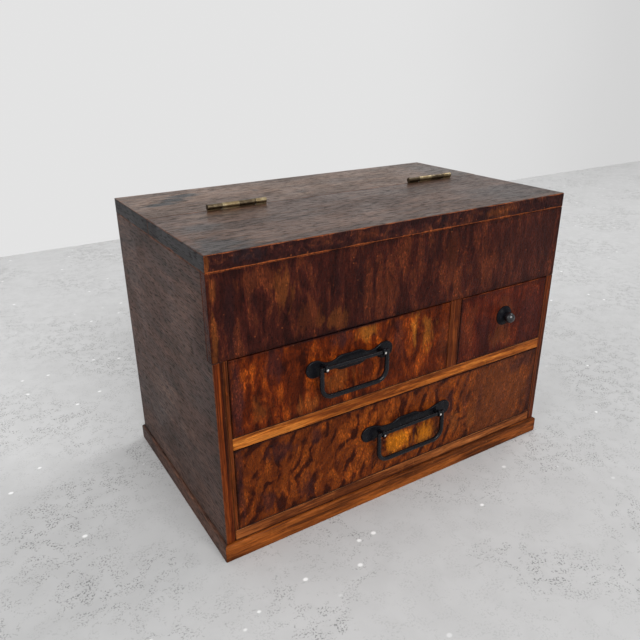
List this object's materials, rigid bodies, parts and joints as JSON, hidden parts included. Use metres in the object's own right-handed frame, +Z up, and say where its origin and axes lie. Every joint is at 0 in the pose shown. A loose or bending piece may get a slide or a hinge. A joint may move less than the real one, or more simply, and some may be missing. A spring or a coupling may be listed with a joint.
{
  "type": "small tansu chest",
  "caption": "Tabletop wooden chest with a lidded top compartment over sliding drawers, on a low plinth, with iron drop pulls, a small knob and butt hinges.",
  "frame": {"origin": "on the floor, under the middle of the whole chest with its pulls", "axes": "+X along the width to the viewer's right, +Y from the drawer fronts to the back, +Z up"},
  "size_m": [0.3344, 0.2084, 0.2429],
  "materials": {
    "case_wood": "dark worn lacquer, satin",
    "front_wood": "figured wood under reddish-brown lacquer, satin",
    "rail_wood": "light orange-brown lacquer, satin",
    "plinth_wood": "orange-brown lacquer, satin",
    "inner_wood": "bare planed softwood, matt",
    "iron": "blackened, low sheen",
    "brass": "aged, dull"
  },
  "bodies": {
    "case": {"plinth_front": "plinth_wood", "plinth_back": "plinth_wood", "plinth_left": "plinth_wood", "plinth_right": "plinth_wood", "side_left": "case_wood", "side_right": "case_wood", "bottom_board": "rail_wood", "drawer_shelf": "rail_wood", "left_guide_strip": "rail_wood", "compartment_floor": "inner_wood", "drawer_divider": "rail_wood", "front_panel": "front_wood", "back_panel": "inner_wood", "rear_top_board": "case_wood", "left_hinge_case_leaf": "brass", "right_hinge_case_leaf": "brass", "left_hinge_pin": "brass", "right_hinge_pin": "brass", "case_hinge_screws": "brass"},
    "lid": {"lid_board": "case_wood", "left_hinge_lid_leaf": "brass", "right_hinge_lid_leaf": "brass", "lid_hinge_screws": "brass"},
    "lower_drawer": {"lower_drawer_front": "front_wood", "lower_drawer_left_side": "inner_wood", "lower_drawer_right_side": "inner_wood", "lower_drawer_back": "inner_wood", "lower_drawer_bottom": "inner_wood", "lower_pull_plate": "iron", "lower_pull_eyes": "iron"},
    "lower_bail": {"lower_pull_bail": "iron"},
    "left_drawer": {"left_drawer_front": "front_wood", "left_drawer_left_side": "inner_wood", "left_drawer_right_side": "inner_wood", "left_drawer_back": "inner_wood", "left_drawer_bottom": "inner_wood", "left_pull_plate": "iron", "left_pull_eyes": "iron"},
    "left_bail": {"left_pull_bail": "iron"},
    "right_drawer": {"right_drawer_front": "front_wood", "right_drawer_left_side": "inner_wood", "right_drawer_right_side": "inner_wood", "right_drawer_back": "inner_wood", "right_drawer_bottom": "inner_wood", "knob_rosette": "iron", "knob": "iron"}
  },
  "joints": [
    {"name": "lid_hinge", "type": "hinge", "parent": "case", "child": "lid", "pos_m": [0, 0.0145, 0.2407], "axis": [-1, 0, 0], "range_deg": [0, 180]},
    {"name": "lower_drawer_slide", "type": "slide", "parent": "case", "child": "lower_drawer", "axis": [0, -1, 0], "range_m": [0, 0.14]},
    {"name": "left_drawer_slide", "type": "slide", "parent": "case", "child": "left_drawer", "axis": [0, -1, 0], "range_m": [0, 0.14]},
    {"name": "right_drawer_slide", "type": "slide", "parent": "case", "child": "right_drawer", "axis": [0, -1, 0], "range_m": [0, 0.14]},
    {"name": "lower_bail_swing", "type": "hinge", "parent": "lower_drawer", "child": "lower_bail", "pos_m": [0.00185, -0.1, 0.0668], "axis": [-1, 0, 0], "range_deg": [-11, 190]},
    {"name": "left_bail_swing", "type": "hinge", "parent": "left_drawer", "child": "left_bail", "pos_m": [-0.05615, -0.1, 0.141], "axis": [-1, 0, 0], "range_deg": [-12, 190]}
  ]
}
